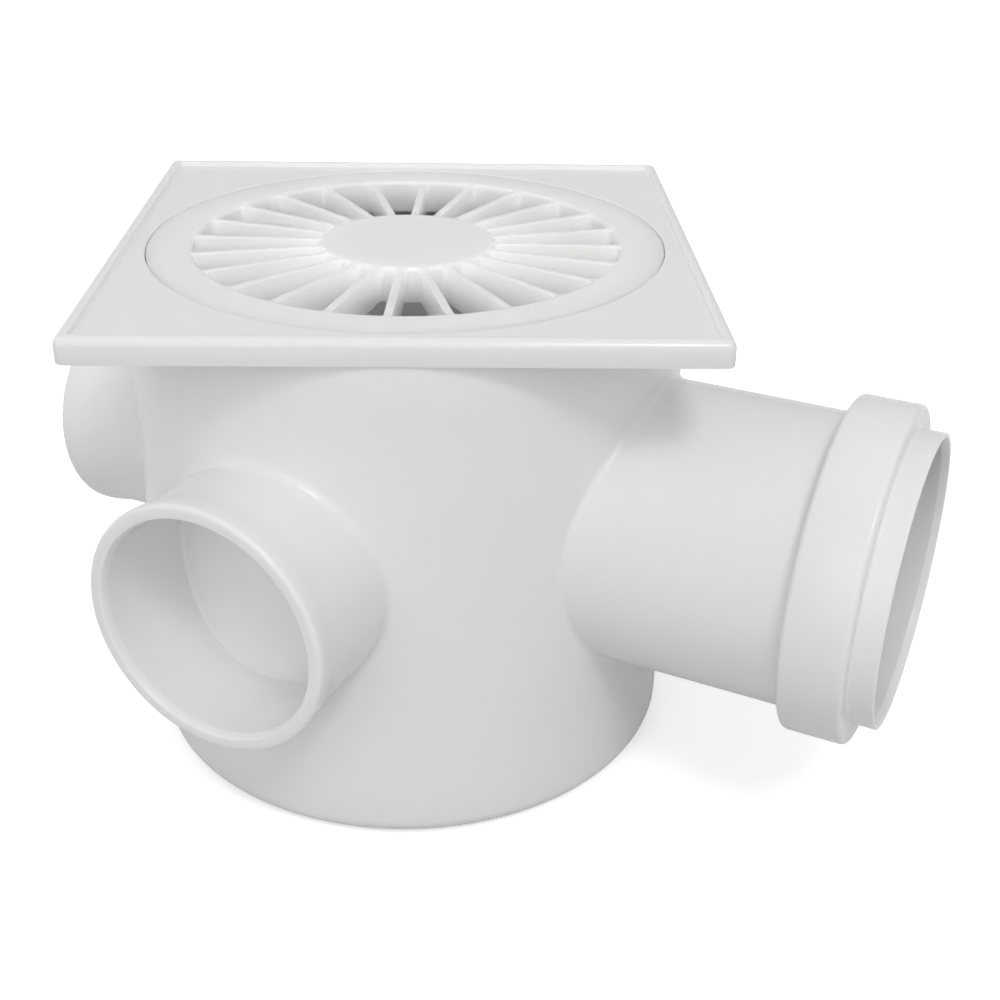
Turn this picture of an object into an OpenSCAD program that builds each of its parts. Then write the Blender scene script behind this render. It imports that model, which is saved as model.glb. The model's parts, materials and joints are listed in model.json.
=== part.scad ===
// Floor gully trap: a round chamber with one ring-seal outlet socket and three
// closed inlet sockets, a square top frame with a round grate, and a lift-out
// water-seal hood. Millimetres. The origin is the centre of the flat base,
// +Z is up and +X runs along the outlet, out of its mouth.

/* [Chamber] */
// Inside radius of the mouth, which takes a riser pipe or the top frame
mouth_r = 50.9; // [46:0.05:60]
// Thickness of the chamber's wall around the mouth, at the base's width
mouth_wall = 1.65; // [1.4:0.05:1.9]
// How much wider the chamber's outside gets towards the mouth, for draft
body_draft = 0.2; // [0:0.05:0.4]
// Height of the chamber, from the base to the rim that carries the frame
body_h = 95.5; // [86:0.5:120]
// Thickness of the chamber's wall below the mouth socket
body_wall = 2.35; // [2:0.05:2.6]
// Thickness of the floor
floor_t = 2.6; // [1.8:0.1:4]
// Rounding between the wall and the base, outside
base_round = 3.8; // [2:0.1:6]
// Depth of the mouth socket
mouth_depth = 14; // [12:0.5:16]

/* [Branches] */
// Distance from the chamber's rim down to the axis of all four branches
branch_drop = 43; // [40:0.5:46]
// Directions of the three inlets, counted from the outlet, in degrees
inlet_turns = [90, 180, 270];
// Inside radius of an inlet socket, for a 40 mm pipe
inlet_r = 20.1; // [18:0.05:21]
// Thickness of an inlet socket's wall
inlet_wall = 2.05; // [1.6:0.05:2.6]
// Distance of an inlet's mouth from the chamber's axis
inlet_reach = 70.4; // [64:0.1:80]
// How far the inlet's rim stands out from its tube
rim_out = 0.8; // [0.4:0.1:1.5]
// Length of the inlet's rim, its flare included
rim_len = 8; // [3:0.1:9]
// Distance from the chamber's wall to where an inlet begins to narrow
stop_len = 0.5; // [0.3:0.1:2]
// How much narrower an inlet gets at its closed end
stop_in = 0.3; // [0.1:0.05:0.6]
// Round between an inlet's tube and the chamber
inlet_fillet = 1.8; // [1:0.1:3]
// Inside radius of the outlet socket, for a 50.7 mm pipe
outlet_r = 25.45; // [24.5:0.05:25.6]
// Thickness of the outlet tube's wall
outlet_wall = 1.8; // [1.5:0.1:2.4]
// Distance of the outlet's mouth from the chamber's axis
outlet_reach = 101.1; // [92:0.1:120]
// Round between the outlet's tube and the chamber
outlet_fillet = 1.4; // [1:0.1:3]
// Length of the plain lip in front of the ring collar
lip_len = 4.5; // [3:0.1:6]
// Thickness of that lip's wall
lip_wall = 1.35; // [1:0.05:1.8]
// Length of the ring collar
collar_len = 11.2; // [9:0.1:14]
// Depth of the ring's groove, from the outlet's bore
groove_depth = 3.5; // [3:0.05:4.5]
// Thickness of the collar's walls around the ring groove
collar_wall = 1.9; // [1.4:0.1:2]
// Rounding of the collar's rear edge
collar_back = 1; // [0.4:0.1:1.5]
// Rounding of the collar's front edge
collar_front = 0.8; // [0.4:0.1:1.5]
// Round between the collar and the tube behind it
collar_cove = 0.8; // [0.4:0.1:1.5]
// Distance from the chamber's wall to the outlet's pipe stop
outlet_stop_len = 9.45; // [8:0.05:14]
// Width of the pipe stop inside the outlet
outlet_stop_w = 2; // [1.5:0.1:3]
// How much narrower the outlet is behind the stop, where the hood plugs in
seat_step = 0.6; // [0.4:0.1:1]
// How much wider the sockets' mouths are
lead_in = 0.5; // [0.2:0.05:0.8]
// Length over which the sockets' mouths widen
lead_len = 1.4; // [0.8:0.1:2]

/* [Top frame] */
// How far the middle of each side of the plate stands out over the chamber
plate_over = 0.55; // [0.4:0.05:6]
// Thickness of the plate, from the rim of the chamber to the raised border
plate_t = 4.5; // [4:0.1:6]
// Rounding of the plate's upright corners
plate_corner_r = 1.5; // [1:0.1:4]
// Rounding of the plate's upper outside edge
plate_edge_r = 1.4; // [0.6:0.1:1.6]
// Width of the raised border
border_w = 2.2; // [2:0.1:4]
// Height of the raised border above the plate's field
border_h = 0.8; // [0.3:0.1:1.2]
// Turn of the plate against the outlet, in degrees
plate_turn = 27.4; // [0:0.1:90]
// Depth of the skirt below the plate
skirt_depth = 11.5; // [8:0.5:11.5]
// Thickness of the skirt
skirt_wall = 2; // [1.6:0.1:2.2]
// Bevel of the skirt's lower edge
skirt_bevel = 0.6; // [0.2:0.1:0.8]
// Thickness of the wall between the skirt's outside and the grate's recess
recess_wall = 2.5; // [2.2:0.1:4]
// Thickness of the ledge that carries the grate
ledge_t = 1.8; // [1.2:0.1:2.5]
// Width of the ledge that carries the grate
ledge_w = 2.8; // [2:0.1:3.5]
// Thickness of the plate's top skin over the corner pockets
skin_t = 2; // [1.5:0.1:2.5]
// Thickness of the plate's outer wall around the corner pockets
pocket_edge = 2.2; // [1.8:0.1:3]
// Distance from the chamber's outside to the corner pockets
pocket_clear = 1; // [0.6:0.1:2]

/* [Grate] */
// Gap around the grate in its recess
grate_gap = 0.15; // [0.1:0.05:0.4]
// Thickness of the grate's flat rim
grate_t = 2; // [1.5:0.1:2.5]
// Depth of the outer edge that stands on the ledge
grate_edge_h = 4.6; // [3.5:0.1:5]
// Width of the flat rim around the slots
rim_w = 8.25; // [6:0.05:12]
// Radius of the closed disc in the middle
hub_r = 16.4; // [12:0.1:20]
// Number of vanes
vane_count = 24; // [16:1:28]
// Thickness of a vane
vane_t = 1.5; // [1.2:0.1:2]
// Depth of the vanes, the hub's edge and the slots' outer edge
vane_depth = 6.6; // [5:0.1:7]
// How far the vanes' tops lie below the hub's
vane_drop = 0.25; // [0:0.05:0.8]
// Thickness of the walls around the hub and around the slots
grate_wall = 1.7; // [1.4:0.1:2.2]
// Rounding of the hub's and the slots' upper edges
grate_round = 0.8; // [0.3:0.1:1]
// Turn of the first vane against the outlet, in degrees
grate_turn = 9.4; // [0:0.1:15]

/* [Water seal] */
// Height of the hood's open lower edge above the base
dip_z = 10; // [8:0.5:14]
// Distance of the hood's front from the chamber's axis
hood_front = 15; // [10:0.5:18]
// Free space between the hood's rear corners and the chamber's wall
hood_play = 0.7; // [0.5:0.1:3]
// Thickness of the hood's walls
hood_wall = 2.1; // [1.6:0.1:2.4]
// Rounding of the hood's front corners
hood_round = 4; // [2.5:0.5:6]
// Inside radius of the cleaning hole on top of the hood
clean_r = 9; // [7:0.5:10]
// Height of the cleaning hole's neck on top of the hood
neck_h = 4; // [3:0.5:6]
// Thickness of the plug's round head
plug_head_t = 2; // [1.5:0.1:2.5]
// How far the plug's head covers the seat past the hole
plug_cover = 3.4; // [2.5:0.1:4]
// Length of the plug below its head
plug_len = 9; // [7:0.5:10]
// Height of the bar on the plug's head
bar_h = 3.5; // [2.5:0.5:4]
// Thickness of that bar
bar_t = 2.4; // [2:0.1:3]

/* [Seals] */
// Radius of the two O-rings' section
oring_s = 0.7; // [0.5:0.05:0.8]
// Depth of the O-rings' grooves
oring_groove = 1.2; // [1:0.05:1.3]
// Free space left around the outlet's ring in its groove
ring_play = 0.2; // [0.1:0.05:0.3]
// Free space between the outlet's ring and the pipe line
ring_clear = 0.1; // [0.05:0.05:0.3]

/* [Fits] */
// Gap around pieces that push or drop into one another
seat_gap = 0.3; // [0.1:0.05:0.4]

/* [Hidden] */
$fn = 96;

far = 200;
root_turns = 48;
root_steps = 4;
root_sink = 0.06;
root_anchor = 0.7;

body_r = mouth_r + mouth_wall;
chamber_r = body_r - body_wall;
inner_round = base_round / 2;
mouth_z = body_h - mouth_depth;
branch_z = body_h - branch_drop;

inlet_tube_r = inlet_r + inlet_wall;
inlet_stop_x = body_r + stop_len;

outlet_tube_r = outlet_r + outlet_wall;
groove_r = outlet_r + groove_depth;
collar_r = groove_r + collar_wall;
collar_end = outlet_reach - lip_len;
collar_start = collar_end - collar_len;
groove_start = collar_start + collar_wall;
groove_end = collar_end - collar_wall;
outlet_stop_x = body_r + outlet_stop_len;
outlet_seat_r = outlet_r - seat_step;
outlet_stop_r = outlet_seat_r - hood_wall + seat_gap;

plate_side = 2 * (body_r + plate_over);
plate_top = body_h + plate_t;
field_z = plate_top - border_h;
skirt_r = mouth_r - seat_gap;
skirt_in = skirt_r - skirt_wall;
recess_r = skirt_r - recess_wall;
ledge_z = field_z - grate_edge_h;
ledge_in = recess_r - ledge_w;
pocket_r = body_r + pocket_clear;

grate_r = recess_r - grate_gap;
slot_r = grate_r - rim_w;
vane_bottom = field_z - vane_depth;
vane_root = hub_r - grate_wall / 2;
vane_reach = slot_r + grate_wall / 2;

hood_r = outlet_seat_r - seat_gap;
hood_in = hood_r - hood_wall;
hood_back = sqrt(pow(chamber_r - hood_play, 2) - pow(hood_r, 2));
spigot_end = outlet_stop_x - seat_gap;
spigot_groove_x = (body_r + spigot_end) / 2;
clean_x = (hood_front + hood_back) / 2;
clean_z = branch_z + hood_r + neck_h;
boss_r = clean_r + hood_wall;
plug_r = clean_r - seat_gap;
plug_head_r = clean_r + plug_cover;
plug_groove_z = clean_z - plug_len / 2;
groove_half = oring_s + 0.15;

// The radius of the chamber's outside at a height.
function wall_at(z) = body_r + body_draft * (z - base_round) / (body_h - base_round);

// Where a tube of radius r comes out of the chamber's hollow.
function tube_root(r) = sqrt(pow(chamber_r, 2) - pow(r, 2));

// Turns a shape drawn around Z so that its Z axis runs out along a branch.
module along_branch(turn = 0) {
    rotate([0, 0, turn])
        translate([0, 0, branch_z])
            rotate([0, 90, 0])
                children();
}

// A ring or disc of revolution: a rectangle r1..r2 by z1..z2 turned round Z.
module ring(r1, r2, z1, z2) {
    rotate_extrude()
        translate([r1, z1])
            square([r2 - r1, z2 - z1]);
}

// A flat rectangle with rounded corners, centred.
module round_rect(w, d, r) {
    square([w - 2 * r, d], center = true);
    square([w, d - 2 * r], center = true);
    for (x = [-1, 1], y = [-1, 1])
        translate([x * (w / 2 - r), y * (d / 2 - r)])
            circle(r);
}

// A convex quarter round in the first quadrant.
module quarter(r) {
    intersection() {
        circle(r);
        square(r);
    }
}

// What a concave quarter round leaves in an inside corner at the origin.
module cove(r) {
    difference() {
        square(r);
        translate([r, r])
            circle(r);
    }
}

// The chamber's outside: a slightly conical wall that rounds into the base.
module chamber_outside() {
    rotate_extrude() {
        polygon([
            [0, base_round],
            [body_r, base_round],
            [body_r + body_draft, body_h],
            [0, body_h]
        ]);
        square([body_r - base_round, base_round]);
        translate([body_r - base_round, base_round])
            mirror([0, 1])
                quarter(base_round);
    }
}

// The chamber's hollow: a rounded floor, a straight wall and the mouth socket.
module chamber_inside() {
    rotate_extrude() {
        translate([0, floor_t + inner_round])
            square([chamber_r, body_h]);
        translate([0, floor_t])
            square([chamber_r - inner_round, body_h]);
        translate([chamber_r - inner_round, floor_t + inner_round])
            mirror([0, 1])
                quarter(inner_round);
        translate([0, mouth_z])
            square([mouth_r, body_h]);
        polygon([
            [0, body_h - lead_in],
            [mouth_r, body_h - lead_in],
            [mouth_r + lead_in, body_h],
            [0, body_h]
        ]);
    }
}

// One section of the round between a tube and the chamber's wall, at the angle a
// round the tube. A ball rolls in touch with both, and the arc between its two
// touching points is sunk a little at its ends. The last point lies inside the wall.
function root_section(tube_r, ball, a) =
    let (
        aside = (tube_r + ball) * cos(a),
        up = (tube_r + ball) * sin(a),
        reach = wall_at(branch_z + up) + ball,
        centre = [sqrt(reach * reach - aside * aside), aside, up],
        to_wall = [-centre.x, -aside, 0] / reach,
        to_tube = [0, -cos(a), -sin(a)],
        turn = acos(to_wall * to_tube),
        corner = (to_wall + to_tube) / (1 + to_wall * to_tube)
    )
    [
        for (i = [0 : root_steps])
            let (t = i / root_steps, depth = ball + root_sink * abs(2 * t - 1))
            centre + depth * (to_wall * sin((1 - t) * turn) + to_tube * sin(t * turn))
                / sin(turn),
        centre + (ball + root_anchor) * corner
    ];

// The round between a tube and the chamber's wall, in the branch's direction.
module branch_fillet(turn, tube_r, ball) {
    row = root_steps + 2;
    rotate([0, 0, turn])
        translate([0, 0, branch_z])
            polyhedron(
                [
                    for (i = [0 : root_turns - 1])
                        each root_section(tube_r, ball, 360 * i / root_turns)
                ],
                [
                    for (i = [0 : root_turns - 1], j = [0 : row - 1])
                        let (next = (i + 1) % root_turns, k = (j + 1) % row)
                        [i * row + j, i * row + k, next * row + k, next * row + j]
                ]
            );
}

// An inlet's outside: a tube that flares softly into a rounded rim.
module inlet_outside() {
    steps = 8;
    start = inlet_reach - rim_len;
    flat = inlet_reach - rim_out;
    rim_r = inlet_tube_r + rim_out;
    root = tube_root(inlet_tube_r);
    rotate_extrude() {
        translate([0, root])
            square([inlet_tube_r, inlet_reach - root]);
        polygon([
            [0, start],
            for (i = [0 : steps])
                [inlet_tube_r + rim_out * (1 - cos(180 * i / steps)) / 2,
                 start + (flat - start) * i / steps],
            [0, flat]
        ]);
        translate([0, flat])
            square([rim_r - rim_out, rim_out]);
        translate([rim_r - rim_out, flat])
            quarter(rim_out);
    }
}

// An inlet's hollow: a socket with a lead-in, which narrows at its closed end.
module inlet_inside() {
    root = tube_root(inlet_tube_r) - 1;
    rotate_extrude()
        polygon([
            [0, root],
            [inlet_r - stop_in, root],
            [inlet_r, inlet_stop_x],
            [inlet_r, inlet_reach - lead_len],
            [inlet_r + lead_in, inlet_reach],
            [inlet_r + lead_in, far],
            [0, far]
        ]);
}

// The outlet's outside: tube, ring collar and plain lip.
module outlet_outside() {
    root = tube_root(outlet_tube_r);
    lip_r = outlet_r + lip_wall;
    rotate_extrude() {
        translate([0, root])
            square([outlet_tube_r, collar_end - root]);
        translate([outlet_tube_r, collar_start])
            mirror([0, 1])
                cove(collar_cove);
        translate([0, collar_start])
            square([collar_r - collar_back, collar_back]);
        translate([collar_r - collar_back, collar_start + collar_back])
            mirror([0, 1])
                quarter(collar_back);
        translate([0, collar_start + collar_back])
            square([collar_r, collar_len - collar_back - collar_front]);
        translate([0, collar_end - collar_front])
            square([collar_r - collar_front, collar_front]);
        translate([collar_r - collar_front, collar_end - collar_front])
            quarter(collar_front);
        translate([0, collar_end])
            square([lip_r, lip_len]);
    }
}

// The outlet's hollow: seat, pipe stop, bore, ring groove and lead-in.
module outlet_inside() {
    cylinder(r = outlet_seat_r, h = outlet_stop_x);
    translate([0, 0, outlet_stop_x])
        cylinder(r = outlet_stop_r, h = outlet_stop_w);
    translate([0, 0, outlet_stop_x + outlet_stop_w])
        cylinder(r = outlet_r, h = outlet_reach);
    ring(0, groove_r, groove_start, groove_end);
    translate([0, 0, outlet_reach - lead_len])
        cylinder(r1 = outlet_r, r2 = outlet_r + lead_in, h = lead_len);
}

// The chamber's own wall runs on across the inlets, as their knock-outs.
module body() {
    color("white")
        difference() {
            union() {
                chamber_outside();
                for (turn = inlet_turns) {
                    along_branch(turn)
                        difference() {
                            inlet_outside();
                            inlet_inside();
                        }
                    branch_fillet(turn, inlet_tube_r, inlet_fillet);
                }
                along_branch()
                    outlet_outside();
                branch_fillet(0, outlet_tube_r, outlet_fillet);
            }
            chamber_inside();
            along_branch()
                outlet_inside();
        }
}

// The rubber ring of the outlet: a block with a slanted lip towards the pipe.
module outlet_seal_ring() {
    start = groove_start + ring_play;
    end = groove_end - ring_play;
    outside = groove_r - ring_play;
    heel = (outside + outlet_r) / 2;
    color([0.12, 0.12, 0.13])
        along_branch()
            rotate_extrude()
                polygon([
                    [outside, start],
                    [outside, end],
                    [heel, end],
                    [heel, (start + end) / 2],
                    [outlet_r + ring_clear, start + 1],
                    [outlet_r + ring_clear, start]
                ]);
}

// The hood's shape for one wall offset: an arch over the outlet with straight
// sides below it, cut to a plan with rounded front corners.
module hood_solid(inset, bottom) {
    half = hood_r - inset;
    depth = hood_back - hood_front - 2 * inset;
    corner = hood_round - inset;
    intersection() {
        translate([hood_front + inset, 0, 0])
            rotate([90, 0, 90])
                linear_extrude(depth) {
                    translate([0, branch_z])
                        circle(half);
                    translate([-half, bottom])
                        square([2 * half, branch_z - bottom]);
                }
        linear_extrude(far)
            union() {
                translate([hood_front + inset + depth / 2, 0])
                    round_rect(depth, 2 * half, corner);
                translate([hood_back - inset - depth / 2, -half])
                    square([depth / 2, 2 * half]);
            }
    }
}

module trap_insert() {
    color([0.93, 0.94, 0.94])
        difference() {
            union() {
                hood_solid(0, dip_z);
                along_branch()
                    ring(0, hood_r, hood_back - hood_wall, spigot_end);
                translate([clean_x, 0, branch_z])
                    cylinder(r = boss_r, h = clean_z - branch_z);
            }
            hood_solid(hood_wall, 0);
            along_branch() {
                translate([0, 0, hood_back - 2 * hood_wall])
                    cylinder(r = hood_in, h = far);
                ring(hood_r - oring_groove, far, spigot_groove_x - groove_half,
                     spigot_groove_x + groove_half);
            }
            translate([clean_x, 0, branch_z])
                cylinder(r = clean_r, h = far);
        }
}

// An O-ring that lies on a groove's floor of radius r.
module oring(r) {
    color([0.12, 0.12, 0.13])
        rotate_extrude()
            translate([r + oring_s, 0])
                circle(oring_s, $fn = 32);
}

module insert_seal() {
    along_branch()
        translate([0, 0, spigot_groove_x])
            oring(hood_r - oring_groove);
}

module cleaning_plug() {
    color([0.93, 0.94, 0.94])
        translate([clean_x, 0, 0])
            difference() {
                union() {
                    translate([0, 0, clean_z])
                        cylinder(r = plug_head_r, h = plug_head_t);
                    translate([0, 0, clean_z - plug_len])
                        cylinder(r = plug_r, h = plug_len);
                    translate([0, 0, clean_z + plug_head_t])
                        linear_extrude(bar_h)
                            round_rect(bar_t, 1.6 * plug_head_r, bar_t / 2.2);
                }
                ring(plug_r - oring_groove, far, plug_groove_z - groove_half,
                     plug_groove_z + groove_half);
            }
}

module plug_seal() {
    translate([clean_x, 0, plug_groove_z])
        oring(plug_r - oring_groove);
}

// One way through the plate: its section with rounded upper edges, extruded.
module plate_section() {
    half = plate_side / 2;
    rotate([90, 0, 0])
        linear_extrude(plate_side, center = true) {
            translate([-half, body_h])
                square([plate_side, plate_t - plate_edge_r]);
            translate([-half + plate_edge_r, body_h])
                square([plate_side - 2 * plate_edge_r, plate_t]);
            for (side = [-1, 1])
                translate([side * (half - plate_edge_r), plate_top - plate_edge_r])
                    circle(plate_edge_r);
        }
}

// The square plate: rounded edges, raised border and hollow corners beneath.
module plate() {
    inside = plate_side - 2 * border_w;
    pocket = plate_side - 2 * pocket_edge;
    difference() {
        intersection() {
            plate_section();
            rotate([0, 0, 90])
                plate_section();
            linear_extrude(far)
                round_rect(plate_side, plate_side, plate_corner_r);
        }
        translate([0, 0, field_z])
            linear_extrude(far)
                round_rect(inside, inside, plate_corner_r / 2);
        difference() {
            translate([0, 0, body_h - 1])
                linear_extrude(field_z - skin_t - body_h + 1)
                    round_rect(pocket, pocket, plate_corner_r / 2);
            cylinder(r = pocket_r, h = far);
            for (turn = [45, 135])
                rotate([0, 0, turn])
                    translate([-far / 2, -skin_t / 2, 0])
                        cube([far, skin_t, far]);
        }
    }
}

// The skirt that drops into the chamber's mouth, with a bevel at its lower edge.
module skirt() {
    low = body_h - skirt_depth;
    rotate_extrude()
        polygon([
            [skirt_in, low],
            [skirt_r - skirt_bevel, low],
            [skirt_r, low + skirt_bevel],
            [skirt_r, body_h],
            [skirt_in, body_h]
        ]);
}

module top_frame() {
    color("white")
        rotate([0, 0, plate_turn])
            difference() {
                union() {
                    plate();
                    skirt();
                    ring(ledge_in, skirt_r, ledge_z - ledge_t, body_h);
                }
                ring(0, recess_r, ledge_z, far);
                ring(0, ledge_in, 0, far);
            }
}

// The grate's rim and hub as one turned section, with rounded upper edges.
module grate_rim_and_hub() {
    rotate_extrude() {
        translate([slot_r + grate_round, field_z - grate_t])
            square([grate_r - slot_r - grate_round, grate_t]);
        translate([slot_r, vane_bottom])
            square([grate_wall, vane_depth - grate_round]);
        translate([slot_r + grate_round, field_z - grate_round])
            circle(grate_round, $fn = 48);
        translate([grate_r - grate_wall, ledge_z])
            square([grate_wall, grate_edge_h]);
        translate([0, field_z - grate_t])
            square([hub_r - grate_round, grate_t]);
        translate([hub_r - grate_wall, vane_bottom])
            square([grate_wall, vane_depth - grate_round]);
        translate([hub_r - grate_round, field_z - grate_round])
            circle(grate_round, $fn = 48);
    }
}

module grate() {
    color("white") {
        grate_rim_and_hub();
        for (i = [0 : vane_count - 1])
            rotate([0, 0, grate_turn + i * 360 / vane_count])
                translate([vane_root, -vane_t / 2, vane_bottom])
                    cube([vane_reach - vane_root, vane_t, vane_depth - vane_drop]);
    }
}

body();
outlet_seal_ring();
trap_insert();
insert_seal();
cleaning_plug();
plug_seal();
top_frame();
grate();
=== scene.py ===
import json
from math import acos, asin, atan2, cos, pi, radians, sin, sqrt, tan

import bmesh
import bpy
import numpy as np
from bpy.props import FloatProperty, FloatVectorProperty, IntProperty, PointerProperty
from bpy.types import Operator, Panel, PropertyGroup
from mathutils import Matrix, Vector


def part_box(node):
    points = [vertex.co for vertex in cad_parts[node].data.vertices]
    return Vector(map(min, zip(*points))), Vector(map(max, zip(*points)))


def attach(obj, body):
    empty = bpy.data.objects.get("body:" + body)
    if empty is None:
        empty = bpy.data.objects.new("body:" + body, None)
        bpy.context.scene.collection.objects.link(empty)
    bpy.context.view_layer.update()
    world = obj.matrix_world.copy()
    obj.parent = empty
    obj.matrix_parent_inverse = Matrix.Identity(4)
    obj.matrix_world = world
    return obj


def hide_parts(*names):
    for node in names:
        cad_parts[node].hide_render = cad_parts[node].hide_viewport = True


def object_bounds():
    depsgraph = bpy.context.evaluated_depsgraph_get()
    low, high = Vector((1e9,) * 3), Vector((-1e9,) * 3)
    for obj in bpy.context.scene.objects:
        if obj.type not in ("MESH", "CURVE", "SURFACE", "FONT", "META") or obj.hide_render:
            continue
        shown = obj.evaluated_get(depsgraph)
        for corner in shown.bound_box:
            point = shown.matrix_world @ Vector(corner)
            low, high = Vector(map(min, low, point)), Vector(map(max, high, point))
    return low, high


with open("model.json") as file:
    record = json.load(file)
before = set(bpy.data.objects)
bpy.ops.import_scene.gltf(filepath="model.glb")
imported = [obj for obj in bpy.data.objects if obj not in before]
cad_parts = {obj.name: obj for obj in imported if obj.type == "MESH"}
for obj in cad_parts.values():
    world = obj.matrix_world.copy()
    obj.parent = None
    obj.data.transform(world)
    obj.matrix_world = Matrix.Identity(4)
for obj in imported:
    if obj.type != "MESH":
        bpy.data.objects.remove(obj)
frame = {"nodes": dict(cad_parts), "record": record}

bl_info = {
    "name": "Floor gully trap",
    "version": (1, 0, 0),
    "blender": (4, 5, 0),
    "location": "3D View > Sidebar > Gully",
    "description": "Moulded pieces, seals, finishes and stage of a floor gully trap",
    "category": "Mesh",
}

MM = 0.001  # a millimetre in metres
CAD_BOX = [list(corner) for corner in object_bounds()]
BODY_LOW, BODY_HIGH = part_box("body")
FRAME_LOW, FRAME_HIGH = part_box("top_frame")
GRATE_LOW, GRATE_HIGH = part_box("grate")
RING_LOW, RING_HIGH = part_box("outlet_seal_ring")
MOUNTS = {mount["name"]: mount for mount in frame["record"]["mounts"]}
BRANCH_Z = MOUNTS["outlet_socket"]["pos_m"][2]
INLET_R = MOUNTS["inlet_front"]["dims"]["r_mm"] * MM
OUTLET_R = MOUNTS["outlet_socket"]["dims"]["r_mm"] * MM

# Roundings of small edges, from the sharpest that a mould leaves to an eased one.
FINE_EDGE, PLAIN_EDGE, SOFT_EDGE = 0.0002, 0.0003, 0.0004
BLUNT_EDGE, EASED_EDGE = 0.0005, 0.0008


# -------- sizes

def maker(kind, **fixed):
    """A function that makes one kind of property from its name, what it says to the
    user and its default. fixed holds the unit, the subtype and the limits."""
    def make(name, description, default):
        """Makes the property."""
        return kind(name=name, description=description, default=default, **fixed)
    return make


length = maker(FloatProperty, unit="LENGTH", min=0.0, precision=5)
turn_angle = maker(FloatProperty, subtype="ANGLE")
colour = maker(FloatVectorProperty, subtype="COLOR", size=3, min=0.0, max=1.0)
share = maker(FloatProperty, subtype="FACTOR", min=0.0, max=1.0)
brightness = maker(FloatProperty, min=0.0)
power = maker(FloatProperty, min=0.0, unit="POWER")
position = maker(FloatVectorProperty, subtype="TRANSLATION")
focal = maker(FloatProperty, min=1.0, subtype="DISTANCE_CAMERA")
number = maker(IntProperty, min=3)


def angle(name, description, degrees):
    """A turn, given in degrees and kept in radians."""
    return turn_angle(name, description, radians(degrees))


class ChamberSizes(PropertyGroup):
    """The round chamber."""
    base_r: length("Base radius", "Outside radius just above the base", 0.05255)
    draft: length("Draft", "How much wider the outside gets up to the rim", 0.0002)
    rim_z: length("Rim height", "Height of the rim that carries the frame", BODY_HIGH.z)
    base_round: length("Base rounding", "Rounding between wall and base", 0.0038)
    inner_r: length("Inner radius", "Inside radius below the mouth socket", 0.0502)
    mouth_r: length("Mouth radius", "Inside radius of the mouth socket", 0.0509)
    mouth_depth: length("Mouth depth", "Depth of the mouth socket", 0.014)
    floor_z: length("Floor height", "Height of the floor inside", 0.0026)
    floor_round: length("Floor rounding", "Rounding between wall and floor", 0.0019)
    edge: length("Edge rounding", "Rounding of the mouth's edges", 0.00025)
    window_angle: angle("Window angle", "Half the turn that a branch's window takes", 38)
    window_rise: length("Window rise", "Half the height of an outer window", 0.034)
    inner_rise: length("Inner window rise", "Half the height of the inner window", 0.028)


class BranchSizes(PropertyGroup):
    """The outlet socket and the three inlet sockets."""
    axis_z: length("Axis height", "Height of the branches' axes", BRANCH_Z)
    inlet_r: length("Inlet bore", "Inside radius of an inlet socket", INLET_R)
    inlet_wall: length("Inlet wall", "Thickness of an inlet socket's wall", 0.00205)
    inlet_reach: length("Inlet reach", "From the axis to an inlet's mouth", -BODY_LOW.x)
    inlet_fillet: length("Inlet fillet", "Round between inlet and chamber", 0.0018)
    rim_out: length("Rim width", "How far an inlet's rim stands out", 0.0008)
    rim_len: length("Rim length", "Length of an inlet's rim with its flare", 0.008)
    stop_x: length("Stop place", "From the axis to an inlet's stop", 0.05305)
    stop_in: length("Stop depth", "How much narrower an inlet gets at its end", 0.0003)
    knockout_fillet: length("Knock-out fillet", "Round at a knock-out's edge", 0.0005)
    outlet_r: length("Outlet bore", "Inside radius of the outlet socket", OUTLET_R)
    outlet_wall: length("Outlet wall", "Thickness of the outlet tube's wall", 0.0018)
    outlet_reach: length("Outlet reach", "From the axis to its mouth", BODY_HIGH.x)
    outlet_fillet: length("Outlet fillet", "Round between outlet and chamber", 0.0014)
    lip_len: length("Lip length", "Length of the lip in front of the collar", 0.0045)
    lip_wall: length("Lip wall", "Thickness of that lip", 0.00135)
    collar_len: length("Collar length", "Length of the ring collar", 0.0112)
    collar_r: length("Collar radius", "Outside radius of the ring collar", 0.03085)
    collar_wall: length("Collar wall", "Thickness around the collar's groove", 0.0019)
    collar_back: length("Collar shoulder", "Rounding of the collar's rear edge", 0.001)
    collar_front: length("Collar edge", "Rounding of the collar's front edge", 0.0008)
    collar_cove: length("Collar cove", "Round between the collar and its tube", 0.0008)
    seat_r: length("Seat radius", "Radius that the hood's spigot plugs into", 0.02485)
    outlet_stop_x: length("Outlet stop", "From the axis to its stop", 0.062)
    outlet_stop_w: length("Outlet stop width", "Width of the outlet's pipe stop", 0.002)
    outlet_stop_r: length("Outlet stop radius", "Inside radius of that stop", 0.02305)
    lead_in: length("Lead-in", "How much wider the sockets' mouths are", 0.0005)
    lead_len: length("Lead-in length", "Length of the sockets' lead-ins", 0.0014)


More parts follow.
